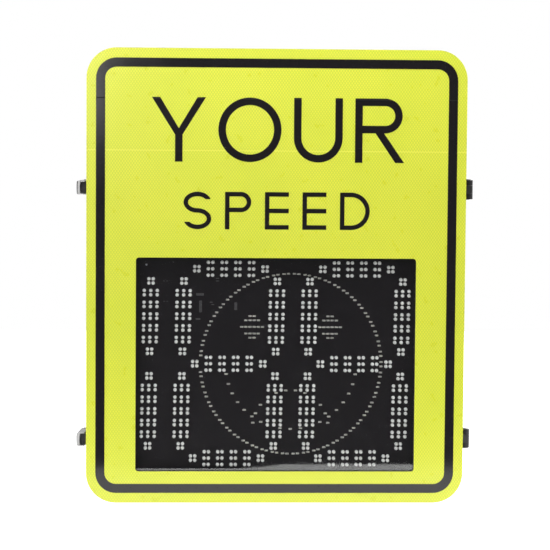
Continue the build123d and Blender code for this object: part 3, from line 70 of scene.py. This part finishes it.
class Look:
    """A Principled material: a plain colour and plain values, and short ways to add pattern to them."""

    def __init__(self, name, colour, **values):
        self.material = bpy.data.materials.new(name)
        self.material.use_nodes = True
        self.tree = self.material.node_tree
        self.shader = self.tree.nodes["Principled BSDF"]
        self.shader.inputs["Base Color"].default_value = (*colour, 1)
        for socket, value in values.items():
            self.shader.inputs[socket.replace("_", " ").title()].default_value = value
        self.place = self.tree.nodes.new("ShaderNodeTexCoord").outputs["Object"]

    def node(self, kind, links=(), **settings):
        """A new node; links holds a value or another node's output for each of its inputs."""
        made = self.tree.nodes.new("ShaderNode" + kind)
        for setting, value in settings.items():
            setattr(made, setting, value)
        for socket, source in dict(links).items():
            if isinstance(source, bpy.types.NodeSocket):
                self.tree.links.new(source, made.inputs[socket])
            else:
                made.inputs[socket].default_value = source
        return made

    def maths(self, operation, first, second=0.0):
        """One arithmetic step on numbers or outputs."""
        return self.node("Math", {0: first, 1: second}, operation=operation).outputs[0]

    def axes(self):
        """The object's own x, y and z."""
        parts = self.node("SeparateXYZ", {0: self.place}).outputs
        return parts["X"], parts["Y"], parts["Z"]

    def noise(self, scale, detail=3.0, stretch=(1, 1, 1)):
        """A cloudy pattern, finer along an axis whose stretch is larger."""
        mapped = self.node("Mapping", {"Vector": self.place, "Scale": stretch}).outputs[0]
        links = {"Vector": mapped, "Scale": scale, "Detail": detail}
        return self.node("TexNoise", links).outputs["Fac"]

    def spots(self, scale):
        """A pattern of small cells."""
        links = {"Vector": self.place, "Scale": scale}
        return self.node("TexVoronoi", links).outputs["Distance"]

    def ranged(self, source, low, high, new_low, new_high):
        """The range from low to high, turned into another range and held at its ends."""
        links = {
            "Value": source,
            "From Min": low,
            "From Max": high,
            "To Min": new_low,
            "To Max": new_high,
        }
        return self.node("MapRange", links).outputs[0]

    def wander(self, noise, low, high):
        """A noise's usual span, turned into the range from low to high."""
        return self.ranged(noise, *NOISE_SPAN, low, high)

    def stripe(self, coordinate, middle, inner, outer):
        """1 nearer to the middle than inner, fading to 0 at outer."""
        distance = self.maths("ABSOLUTE", self.maths("SUBTRACT", coordinate, middle))
        return self.ranged(distance, inner, outer, 1.0, 0.0)

    def blend(self, amount, first, second):
        """A colour between two colours or outputs."""
        mixer = self.node("Mix", data_type="RGBA")
        for socket, source in (("Factor", amount), ("A", first), ("B", second)):
            wanted = [i for i in mixer.inputs if i.name == socket and i.enabled][0]
            if isinstance(source, bpy.types.NodeSocket):
                self.tree.links.new(source, wanted)
            else:
                wanted.default_value = (*source, 1)
        return [o for o in mixer.outputs if o.enabled][0]

    def set(self, socket, source):
        """Let an output drive one of the shader's inputs."""
        self.tree.links.new(source, self.shader.inputs[socket])

    def bump(self, height, strength, distance):
        """Raise the surface where height is larger."""
        links = {"Height": height, "Strength": strength, "Distance": distance}
        self.set("Normal", self.node("Bump", links).outputs[0])


# ---------------------------------------------------------------- materials of the sign face

CELL_W = 4.5 * MM
CELL_H = 6.5 * MM
SEAM_REACH = 0.20  # half a seam's width, as a share of a cell
SPLICE_Z = 203 * MM
FILM_SEAM_Z = 286 * MM


def cell_seams(look):
    """1 on the seams between the sheeting's diamond cells, fading to 0 inside a cell."""
    x, _, z = look.axes()
    across = look.maths("DIVIDE", x, CELL_W)
    along = look.maths("DIVIDE", z, CELL_H)
    slants = []
    for operation in ("ADD", "SUBTRACT"):
        diagonal = look.maths(operation, across, along)
        from_seam = look.maths("PINGPONG", diagonal, 0.5)
        slants.append(look.ranged(from_seam, 0.0, SEAM_REACH, 1.0, 0.0))
    return look.maths("MAXIMUM", *slants)


def reflective_sheeting():
    """Yellow-green prismatic sheeting: a diamond lattice of seams, and a splice across the plate."""
    look = Look(
        "reflective_sheeting",
        (0.80, 0.82, 0.055),
        roughness=0.32,
        coat_weight=0.35,
        coat_roughness=0.12,
    )
    seams = cell_seams(look)
    splice = look.stripe(look.axes()[2], SPLICE_Z, 0.5 * MM, 1.0 * MM)
    patches = look.ranged(look.noise(7, detail=4.0), 0.35, 0.65, 0.0, 1.0)
    patchy = look.blend(patches, (0.78, 0.82, 0.062), (0.84, 0.85, 0.070))
    latticed = look.blend(look.maths("MULTIPLY", seams, 0.9), patchy, (0.52, 0.65, 0.050))
    spliced = look.blend(look.maths("MULTIPLY", splice, 0.6), latticed, (0.95, 0.94, 0.16))
    look.set("Base Color", spliced)
    look.set("Roughness", look.wander(look.noise(60), 0.26, 0.40))
    look.bump(look.maths("MAXIMUM", seams, splice), 0.25, 0.08 * MM)
    return look.material


def black_film():
    """Gloss black vinyl with a slight orange peel, dust and one butt seam in the border."""
    look = Look("black_film", (0.012, 0.011, 0.012), roughness=0.12)
    seam = look.stripe(look.axes()[2], FILM_SEAM_Z, 0.5 * MM, 0.9 * MM)
    dust = look.ranged(look.noise(300, detail=2.0), 0.68, 0.8, 0.0, 0.3)
    dusty = look.blend(dust, (0.012, 0.0105, 0.012), (0.06, 0.06, 0.06))
    look.set("Base Color", look.blend(seam, dusty, (0.001, 0.001, 0.001)))
    smears = look.ranged(look.noise(14, detail=6.0), 0.35, 0.7, 0.08, 0.15)
    look.set("Roughness", look.maths("MAXIMUM", smears, look.maths("MULTIPLY", seam, 0.9)))
    look.bump(look.maths("SUBTRACT", look.noise(90, detail=1.0), seam), 0.12, 0.06 * MM)
    return look.material


LENS_MIRROR = 0.064  # share of light that each face mirrors head on, a little over real plastic's 0.05
LENS_LEAN = 0.016  # slope by which the lens leans at its left side
LENS_LIFT = 0.004  # and the opposite slope over its right half
LEAN_FROM_X = -160 * MM
LEAN_TO_X = 16 * MM
PINCH_Z = -311.5 * MM  # below this height the seal holds the lens flat
PINCH_FADE = 0.5 * MM
SLANT_POWER = 5.0  # Schlick's formula for how mirroring grows towards a grazing view


def lens_normal(look):
    """The lens's normal, tilted up or down a little as on a sheet that isn't quite flat."""
    x, _, z = look.axes()
    lean = look.ranged(x, LEAN_FROM_X, LEAN_TO_X, LENS_LEAN, -LENS_LIFT)
    free = look.ranged(z, PINCH_Z, PINCH_Z + PINCH_FADE, 0.0, 1.0)
    tilt = look.node("CombineXYZ", {"Z": look.maths("MULTIPLY", lean, free)}).outputs[0]
    flat = look.node("NewGeometry").outputs["Normal"]
    leaning = look.node("VectorMath", {0: flat, 1: tilt}, operation="ADD").outputs[0]
    return look.node("VectorMath", {0: leaning}, operation="NORMALIZE").outputs[0]


def clear_polycarbonate():
    """Thin clear sheet: a gloss reflection over a faintly smoked see-through body."""
    look = Look("clear_polycarbonate", (0.9, 0.92, 0.93))
    haze = look.noise(18, detail=5.0)
    look.set("Roughness", look.ranged(haze, 0.35, 0.7, 0.05, 0.10))
    sheen = look.ranged(haze, 0.35, 0.7, 0.02, 0.05)
    links = {"Color": (1, 1, 1, 1), "Roughness": sheen, "Normal": lens_normal(look)}
    gloss = look.node("BsdfGlossy", links)
    clear = look.node("BsdfTransparent", {"Color": (0.93, 0.935, 0.94, 1)})
    # A Fresnel node would mirror everything inside the sheet; Facing is the same from both sides.
    slant = look.node("LayerWeight", {"Blend": 0.5}).outputs["Facing"]
    mirror = look.ranged(look.maths("POWER", slant, SLANT_POWER), 0.0, 1.0, LENS_MIRROR, 1.0)
    shiny = look.node("MixShader", {0: mirror, 1: clear.outputs[0], 2: gloss.outputs[0]})
    scuffs = look.ranged(look.noise(40, detail=6.0, stretch=(1, 1, 4)), 0.55, 0.8, 0.0, 0.004)
    worn = look.node("MixShader", {0: scuffs, 1: shiny.outputs[0], 2: look.shader.outputs[0]})
    look.tree.links.new(worn.outputs[0], look.tree.nodes["Material Output"].inputs["Surface"])
    return look.material


# ---------------------------------------------------------------- metal, plastic and electronics

GRAIN_RATIO = 9  # how much finer a speckled surface's bump is than its colour
SCRATCH_SHADE = 0.78  # how bright a brushed metal's scratches are beside the rest


def speckled(name, dark, light, scale, gloss, **values):
    """A surface whose colour and roughness wander between two values, with a fine bump."""
    look = Look(name, dark, **values)
    cloud = look.noise(scale, detail=5.0)
    look.set("Base Color", look.blend(look.wander(cloud, 0.0, 1.0), dark, light))
    look.set("Roughness", look.wander(cloud, *gloss))
    look.bump(look.noise(GRAIN_RATIO * scale, detail=2.0), 0.35, 0.05 * MM)
    return look.material


def brushed(name, colour, gloss, lay):
    """Metal brushed along one direction, with fine scratches in colour, gloss and bump."""
    look = Look(name, colour, metallic=1.0)
    lines = look.noise(45, detail=4.0, stretch=lay)
    dim = tuple(SCRATCH_SHADE * channel for channel in colour)
    look.set("Base Color", look.blend(look.wander(lines, 0.0, 1.0), dim, colour))
    look.set("Roughness", look.wander(lines, *gloss))
    look.bump(lines, 0.12, 0.04 * MM)
    return look.material


def powder_coat(name, dark, light, gloss):
    """Fine-textured powder coat, dustier in broad patches."""
    look = Look(name, dark)
    dust = look.ranged(look.noise(6, detail=6.0), 0.42, 0.75, 0.0, 0.6)
    look.set("Base Color", look.blend(dust, dark, light))
    look.set("Roughness", look.wander(look.noise(30, detail=4.0), *gloss))
    look.bump(look.spots(900), 0.30, 0.10 * MM)
    return look.material


BOARD_BLACK = (0.0085, 0.0065, 0.0085)
BOARD_TRACK = (0.018, 0.015, 0.017)


def display_board():
    """Matt black solder mask over faint copper tracks."""
    look = Look("display_board", BOARD_BLACK, roughness=0.55)
    look.shader.inputs["Specular IOR Level"].default_value = 0.2
    x, _, z = look.axes()
    tracks = []
    for axis, other in ((x, z), (z, x)):
        sway = look.maths("MULTIPLY", look.maths("PINGPONG", other, 31 * MM), 0.5)
        line = look.maths("PINGPONG", look.maths("ADD", axis, sway), 4.3 * MM)
        tracks.append(look.ranged(line, 0.0, 0.45 * MM, 1.0, 0.0))
    copper = look.maths("MAXIMUM", *tracks)
    patches = look.ranged(look.noise(11, detail=1.0), 0.48, 0.52, 0.0, 1.0)
    shown = look.maths("MULTIPLY", copper, patches)
    faint = look.maths("MULTIPLY", shown, 0.4)
    look.set("Base Color", look.blend(faint, BOARD_BLACK, BOARD_TRACK))
    look.set("Roughness", look.wander(look.noise(25), 0.42, 0.58))
    look.bump(shown, 0.4, 0.05 * MM)
    return look.material


MASK_GREEN = (0.010, 0.085, 0.030)
TRACK_GREEN = (0.030, 0.16, 0.055)


def control_board():
    """Green solder mask over copper tracks at two slants."""
    look = Look("control_board", MASK_GREEN, roughness=0.3)
    x, _, z = look.axes()
    sway = look.maths("PINGPONG", z, 9 * MM)
    line = look.maths("PINGPONG", look.maths("ADD", x, sway), 1.6 * MM)
    copper = look.ranged(line, 0.25 * MM, 0.45 * MM, 1.0, 0.0)
    patches = look.ranged(look.noise(45, detail=1.0), 0.47, 0.53, 0.0, 1.0)
    shown = look.maths("MULTIPLY", copper, patches)
    look.set("Base Color", look.blend(shown, MASK_GREEN, TRACK_GREEN))
    look.set("Roughness", look.wander(look.noise(60), 0.22, 0.38))
    look.bump(shown, 0.4, 0.04 * MM)
    return look.material


CUP_WALL = 0.55  # where the reflector's wall lies, as a share of the flange's radius
CUP_WALL_FADE = 0.2


def clear_led():
    """Water-clear epoxy: a pale reflector cup in the middle, a greyer wall round it, a bright rim.

    A faint painted glow, weaker over the wall, stands for the light that scatters inside the epoxy.
    """
    look = Look(
        "digit_led",
        (0.75, 0.75, 0.74),
        roughness=0.2,
        coat_weight=0.5,
        coat_roughness=0.06,
        emission_strength=1.0,
    )
    profile = look.node("UVMap", uv_map="profile").outputs[0]
    from_middle = look.node("SeparateXYZ", {0: profile}).outputs["X"]
    wall = look.stripe(from_middle, CUP_WALL, 0.0, CUP_WALL_FADE)
    uneven = look.wander(look.noise(250, detail=2.0), 0.0, 1.0)
    body = look.blend(uneven, (0.82, 0.83, 0.81), (0.94, 0.94, 0.90))
    look.set("Base Color", look.blend(look.maths("MULTIPLY", wall, 0.5), body, (0.50, 0.50, 0.50)))
    # Painted glow: the unlit LED gives off light of its own, dimmer over the reflector's wall.
    look.set("Emission Color", look.blend(wall, (0.21, 0.21, 0.20), (0.05, 0.05, 0.05)))
    look.set("Roughness", look.ranged(uneven, 0.0, 1.0, 0.14, 0.26))
    look.bump(look.noise(500, detail=1.0), 0.15, 0.05 * MM)
    return look.material


def chip_led():
    """Pale package with a slightly yellow phosphor."""
    look = Look("face_led", (0.40, 0.40, 0.37), roughness=0.35, coat_weight=0.3)
    mottle = look.ranged(look.noise(500, detail=2.0), 0.35, 0.65, 0.0, 1.0)
    look.set("Base Color", look.blend(mottle, (0.42, 0.42, 0.39), (0.78, 0.76, 0.66)))
    look.set("Roughness", look.ranged(mottle, 0.0, 1.0, 0.25, 0.45))
    look.bump(mottle, 0.2, 0.05 * MM)
    return look.material


def battery_case():
    """Dark grey moulded case with a fine grain and scuffs along its sides."""
    look = Look("battery_case", (0.04, 0.042, 0.046), roughness=0.45)
    scuffs = look.ranged(look.noise(30, detail=8.0, stretch=(1, 1, 6)), 0.6, 0.75, 0.0, 0.4)
    look.set("Base Color", look.blend(scuffs, (0.036, 0.038, 0.043), (0.12, 0.12, 0.125)))
    look.set("Roughness", look.wander(look.noise(50), 0.38, 0.55))
    look.bump(look.spots(700), 0.2, 0.1 * MM)
    return look.material


# Colour, lowest and highest roughness, and how finely the scratches lie along x, y and z.
BRUSHED = {
    "plate_aluminium": ((0.66, 0.67, 0.68), (0.30, 0.45), (1, 1, 40)),
    "bright_aluminium": ((0.74, 0.75, 0.76), (0.22, 0.36), (40, 1, 1)),
    "stainless_clip": ((0.58, 0.58, 0.575), (0.34, 0.46), (1, 30, 1)),
    "stainless_pin": ((0.68, 0.68, 0.67), (0.15, 0.28), (1, 1, 40)),
    "strap_metal": ((0.62, 0.63, 0.64), (0.28, 0.42), (40, 1, 1)),
}
# Colour, dusty colour, and lowest and highest roughness.
POWDER_COATED = {
    "black_powder_coat": ((0.014, 0.0135, 0.014), (0.035, 0.034, 0.033), (0.38, 0.52)),
    "black_steel": ((0.018, 0.018, 0.019), (0.05, 0.049, 0.047), (0.35, 0.5)),
    "black_hinge_casting": ((0.014, 0.0135, 0.0135), (0.032, 0.031, 0.030), (0.38, 0.52)),
}
# Dark and light colour, the speckle's scale, and lowest and highest roughness.
SPECKLED = {
    "rubber": ((0.012, 0.012, 0.012), (0.024, 0.023, 0.022), 60, (0.6, 0.8)),
    "board_component": ((0.05, 0.048, 0.05), (0.085, 0.082, 0.085), 300, (0.5, 0.65)),
    "chip_black": ((0.012, 0.012, 0.013), (0.028, 0.028, 0.030), 400, (0.45, 0.65)),
    "radar_cover": ((0.60, 0.60, 0.57), (0.72, 0.72, 0.69), 25, (0.4, 0.55)),
    "black_nylon": ((0.014, 0.014, 0.015), (0.035, 0.035, 0.036), 70, (0.42, 0.6)),
    "controller_case": ((0.035, 0.075, 0.16), (0.05, 0.10, 0.20), 40, (0.38, 0.5)),
    "breaker_case": ((0.66, 0.66, 0.63), (0.76, 0.76, 0.73), 35, (0.35, 0.5)),
    "toggle": ((0.020, 0.020, 0.021), (0.04, 0.04, 0.042), 90, (0.3, 0.45)),
    "terminal_plastic": ((0.36, 0.36, 0.33), (0.46, 0.46, 0.43), 60, (0.42, 0.58)),
    "gland_nylon": ((0.018, 0.018, 0.019), (0.045, 0.045, 0.046), 80, (0.4, 0.55)),
}
SPECKLED_METAL = {
    "zinc_steel": ((0.52, 0.53, 0.55), (0.70, 0.71, 0.72), 180, (0.25, 0.45)),
    "stainless_screw": ((0.55, 0.55, 0.55), (0.72, 0.72, 0.71), 200, (0.2, 0.35)),
}
SENSOR_DOME = ((0.40, 0.42, 0.45), (0.55, 0.56, 0.58), 300, (0.08, 0.15))


def all_looks():
    """Every material of the model, by the name of its slot."""
    made = {
        "reflective_sheeting": reflective_sheeting(),
        "black_film": black_film(),
        "clear_polycarbonate": clear_polycarbonate(),
        "display_board": display_board(),
        "digit_led": clear_led(),
        "face_led": chip_led(),
        "sensor_dome": speckled("sensor_dome", *SENSOR_DOME, coat_weight=0.5),
        "control_board": control_board(),
        "battery_case": battery_case(),
    }
    for name, values in BRUSHED.items():
        made[name] = brushed(name, *values)
    for name, values in POWDER_COATED.items():
        made[name] = powder_coat(name, *values)
    for name, values in SPECKLED.items():
        made[name] = speckled(name, *values)
    for name, values in SPECKLED_METAL.items():
        made[name] = speckled(name, *values, metallic=1.0)
    return made


looks = all_looks()
for part in frame["record"]["subparts"]:
    for material_slot in frame["nodes"][part["node"]].material_slots:
        material_slot.material = looks[part["material_slot"]]

# ---------------------------------------------------------------- domed LED bodies

LED_RING = 16  # points round an LED
LED_FLANGE_R = 2.8 * MM
LED_FLANGE_H = 1.0 * MM
LED_BODY_R = 2.5 * MM
LED_HEIGHT = 8.2 * MM
DOME_DEGREES = (0, 20, 40, 60, 78)
CAP_TOLERANCE = 0.1 * MM
CENTRE_DIGITS = 5  # metres to the hundredth of a millimetre
SHARP_DEGREES = 50


def led_profile():
    """(radius, height) of each ring of a 5 mm LED: flange, straight body, then a domed end."""
    rings = [(LED_FLANGE_R, 0), (LED_FLANGE_R, LED_FLANGE_H), (LED_BODY_R, LED_FLANGE_H)]
    for degrees in DOME_DEGREES:
        angle = math.radians(degrees)
        dome_rise = LED_BODY_R * math.sin(angle)
        rings.append((LED_BODY_R * math.cos(angle), LED_HEIGHT - LED_BODY_R + dome_rise))
    return rings


def led_points(x, z, board_front):
    """Points of one LED: its rings from the board outwards, then its tip."""
    points = []
    for radius, height in led_profile():
        for step in range(LED_RING):
            turn = 2 * math.pi * step / LED_RING
            side = radius * math.cos(turn)
            rise = radius * math.sin(turn)
            points.append((x + side, board_front - height, z + rise))
    points.append((x, board_front - LED_HEIGHT, z))
    return points


def led_shading():
    """For each of one LED's points, its distance from the axis and its height, both from 0 to 1."""
    shading = []
    for radius, height in led_profile():
        shading += [(radius / LED_FLANGE_R, height / LED_HEIGHT)] * LED_RING
    shading.append((0, 1))
    return shading


def led_faces(first):
    """Faces of one LED whose points start at first: its sides, its end and its flat foot."""
    faces = []
    last_ring = first + (len(led_profile()) - 1) * LED_RING
    tip = last_ring + LED_RING
    for ring in range(first, last_ring, LED_RING):
        for step in range(LED_RING):
            here = ring + step
            along = ring + (step + 1) % LED_RING
            faces.append((here, along, along + LED_RING, here + LED_RING))
    for step in range(LED_RING):
        faces.append((last_ring + step, last_ring + (step + 1) % LED_RING, tip))
    faces.append(tuple(first + step for step in reversed(range(LED_RING))))
    return faces


def front_caps(mesh, front):
    """The points of the mesh's front faces, one list for each face."""
    leader = {v.index: v.index for v in mesh.vertices if v.co.y < front + CAP_TOLERANCE}

    def root(index):
        while leader[index] != index:
            index = leader[index]
        return index

    for edge in mesh.edges:
        first, second = edge.vertices
        if first in leader and second in leader:
            leader[root(first)] = root(second)
    caps = {}
    for index in leader:
        caps.setdefault(root(index), []).append(mesh.vertices[index].co)
    return caps.values()


def middle(values):
    """Half way between the smallest and the largest value."""
    return round((min(values) + max(values)) / 2, CENTRE_DIGITS)


def led_centres():
    """Where each LED stands: the middle of every flat front cap of the CAD cylinders."""
    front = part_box("digit_leds")[0].y
    middles = set()
    for points in front_caps(frame["nodes"]["digit_leds"].data, front):
        across = [p.x for p in points]
        up = [p.z for p in points]
        middles.add((middle(across), middle(up)))
    return sorted(middles)


def domed_leds():
    """One mesh of domed LEDs that stands for the plain CAD cylinders."""
    board_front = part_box("digit_leds")[1].y
    vertices, faces, shading = [], [], []
    for x, z in led_centres():
        faces += led_faces(len(vertices))
        vertices += led_points(x, z, board_front)
        shading += led_shading()
    mesh = bpy.data.meshes.new("domed_leds")
    mesh.from_pydata(vertices, [], faces)
    layer = mesh.uv_layers.new(name="profile")
    for loop in mesh.loops:
        layer.data[loop.index].uv = shading[loop.vertex_index]
    mesh.polygons.foreach_set("use_smooth", [True] * len(mesh.polygons))
    mesh.set_sharp_from_angle(angle=math.radians(SHARP_DEGREES))
    mesh.materials.append(looks["digit_led"])
    leds = bpy.data.objects.new("domed_leds", mesh)
    bpy.context.scene.collection.objects.link(leds)
    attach(leds, "door")
    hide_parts("digit_leds")


domed_leds()

# ---------------------------------------------------------------- light, floor and camera

plate_low, plate_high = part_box("sign_plate")
plate_centre = Vector((0, plate_low.y, (plate_low.z + plate_high.z) / 2))

FLOOR_DROP = 0.012  # from the sign's lowest point down to the floor
FLOOR_FRONT = -0.69  # the near edge, mirrored as the top of the pale band at the foot of the lens
FLOOR_REACH = 3.0  # back and to each side
FLOOR_GLOW = 0.95  # strength with which the floor glows to the camera and to mirrored rays
FLOOR_GLOW_TO_MATT = 0.50  # and the lower strength with which it lights matt surfaces

# Name, place, what it shines at, width, height and watts.
LAMPS = (
    ("top_softbox", (-0.5, -2.4, 2.5), plate_centre, 2.4, 1.6, 11),
    ("top_strip", (0, -0.8, 1.15), plate_centre, 1.6, 0.5, 15),
    ("right_softbox", (2.6, -2.4, 0.9), plate_centre, 1.4, 1.8, 8),
    ("left_panel", (-1.33, -3.62, 1.02), plate_centre + Vector((-0.3, 0, 0.1)), 2.0, 1.7, 40),
    ("back_softbox", (1.2, 2.6, 1.6), (0, 0, 0), 2.0, 2.0, 60),
)

ROOM_DARK = (0.05, 0.048, 0.05, 1)
ROOM_DARK_TO = 0.35  # 0 is straight in front of the sign and 1 straight behind it
ROOM_PALE = (0.75, 0.75, 0.76, 1)
ROOM_PALE_FROM = 0.75

CAMERA_FROM_PLATE = Vector((-0.157, -3.4875, 0.2503))
AIM_FROM_PLATE = Vector((-0.0021, 0, 0.0038))
CAMERA_ROLL_DEGREES = 0.446
FOCAL_LENGTH_MM = 142.4
SENSOR_WIDTH_MM = 36


def area_light(name, place, aim, width, height, power):
    """A soft rectangular lamp that shines at a point and isn't itself in view."""
    data = bpy.data.lights.new(name, "AREA")
    data.shape = "RECTANGLE"
    data.size = width
    data.size_y = height
    data.energy = power
    lamp = bpy.data.objects.new(name, data)
    lamp.location = place
    lamp.rotation_mode = "QUATERNION"
    lamp.rotation_quaternion = (Vector(aim) - Vector(place)).to_track_quat("-Z", "Y")
    lamp.visible_camera = False
    bpy.context.scene.collection.objects.link(lamp)


def pale_floor():
    """A pale floor a little below the sign, ending some way in front of it."""
    low_z = cad_low.z - FLOOR_DROP
    near = (FLOOR_FRONT, low_z)
    far = (FLOOR_REACH, low_z)
    corners = [(-FLOOR_REACH, *near), (FLOOR_REACH, *near), (FLOOR_REACH, *far), (-FLOOR_REACH, *far)]
    mesh = bpy.data.meshes.new("floor")
    mesh.from_pydata(corners, [], [(0, 1, 2, 3)])
    floor = bpy.data.objects.new("floor", mesh)
    bpy.context.scene.collection.objects.link(floor)
    look = Look("pale_floor", (0.86, 0.86, 0.85), roughness=0.7, emission_color=(1, 1, 1, 1))
    cloud = look.noise(3, detail=4.0)
    look.set("Base Color", look.blend(cloud, (0.84, 0.84, 0.83), (0.90, 0.90, 0.89)))
    matt = look.node("LightPath").outputs["Is Diffuse Ray"]
    look.set("Emission Strength", look.ranged(matt, 0.0, 1.0, FLOOR_GLOW, FLOOR_GLOW_TO_MATT))
    mesh.materials.append(look.material)


def room_colour(nodes, links):
    """A grey that goes from dark in front of the sign to pale behind it."""
    direction = nodes.new("ShaderNodeTexCoord")
    split = nodes.new("ShaderNodeSeparateXYZ")
    links.new(direction.outputs["Generated"], split.inputs[0])
    behind = nodes.new("ShaderNodeMapRange")
    behind.inputs["From Min"].default_value = -1
    links.new(split.outputs["Y"], behind.inputs["Value"])
    ramp = nodes.new("ShaderNodeValToRGB")
    dark, pale = ramp.color_ramp.elements
    dark.position = ROOM_DARK_TO
    dark.color = ROOM_DARK
    pale.position = ROOM_PALE_FROM
    pale.color = ROOM_PALE
    links.new(behind.outputs[0], ramp.inputs[0])
    return ramp.outputs[0]


def studio_world():
    """White to the camera, and a dim grey room to every other ray."""
    world = bpy.data.worlds.new("studio")
    world.use_nodes = True
    bpy.context.scene.world = world
    nodes, links = world.node_tree.nodes, world.node_tree.links
    white = nodes["Background"]
    white.inputs["Color"].default_value = (1, 1, 1, 1)
    white.inputs["Strength"].default_value = 1.0
    room = nodes.new("ShaderNodeBackground")
    room.inputs["Strength"].default_value = 1.0
    links.new(room_colour(nodes, links), room.inputs["Color"])
    seen = nodes.new("ShaderNodeLightPath")
    both = nodes.new("ShaderNodeMixShader")
    links.new(seen.outputs["Is Camera Ray"], both.inputs[0])
    links.new(room.outputs[0], both.inputs[1])
    links.new(white.outputs[0], both.inputs[2])
    links.new(both.outputs[0], nodes["World Output"].inputs[0])


def photograph_camera():
    """A long lens a little above and to the left of the sign's axis."""
    data = bpy.data.cameras.new("camera")
    data.sensor_width = SENSOR_WIDTH_MM
    data.lens = FOCAL_LENGTH_MM
    data.clip_start = 0.05
    data.clip_end = 50
    camera = bpy.data.objects.new("camera", data)
    camera.location = plate_centre + CAMERA_FROM_PLATE
    aim = plate_centre + AIM_FROM_PLATE
    level = (aim - camera.location).to_track_quat("-Z", "Y").to_matrix()
    roll = Matrix.Rotation(math.radians(CAMERA_ROLL_DEGREES), 3, "Z")
    camera.rotation_mode = "QUATERNION"
    camera.rotation_quaternion = (level @ roll).to_quaternion()
    bpy.context.scene.collection.objects.link(camera)
    bpy.context.scene.camera = camera


pale_floor()
studio_world()
for lamp_values in LAMPS:
    area_light(*lamp_values)
photograph_camera()
bpy.context.scene.view_settings.view_transform = "Standard"
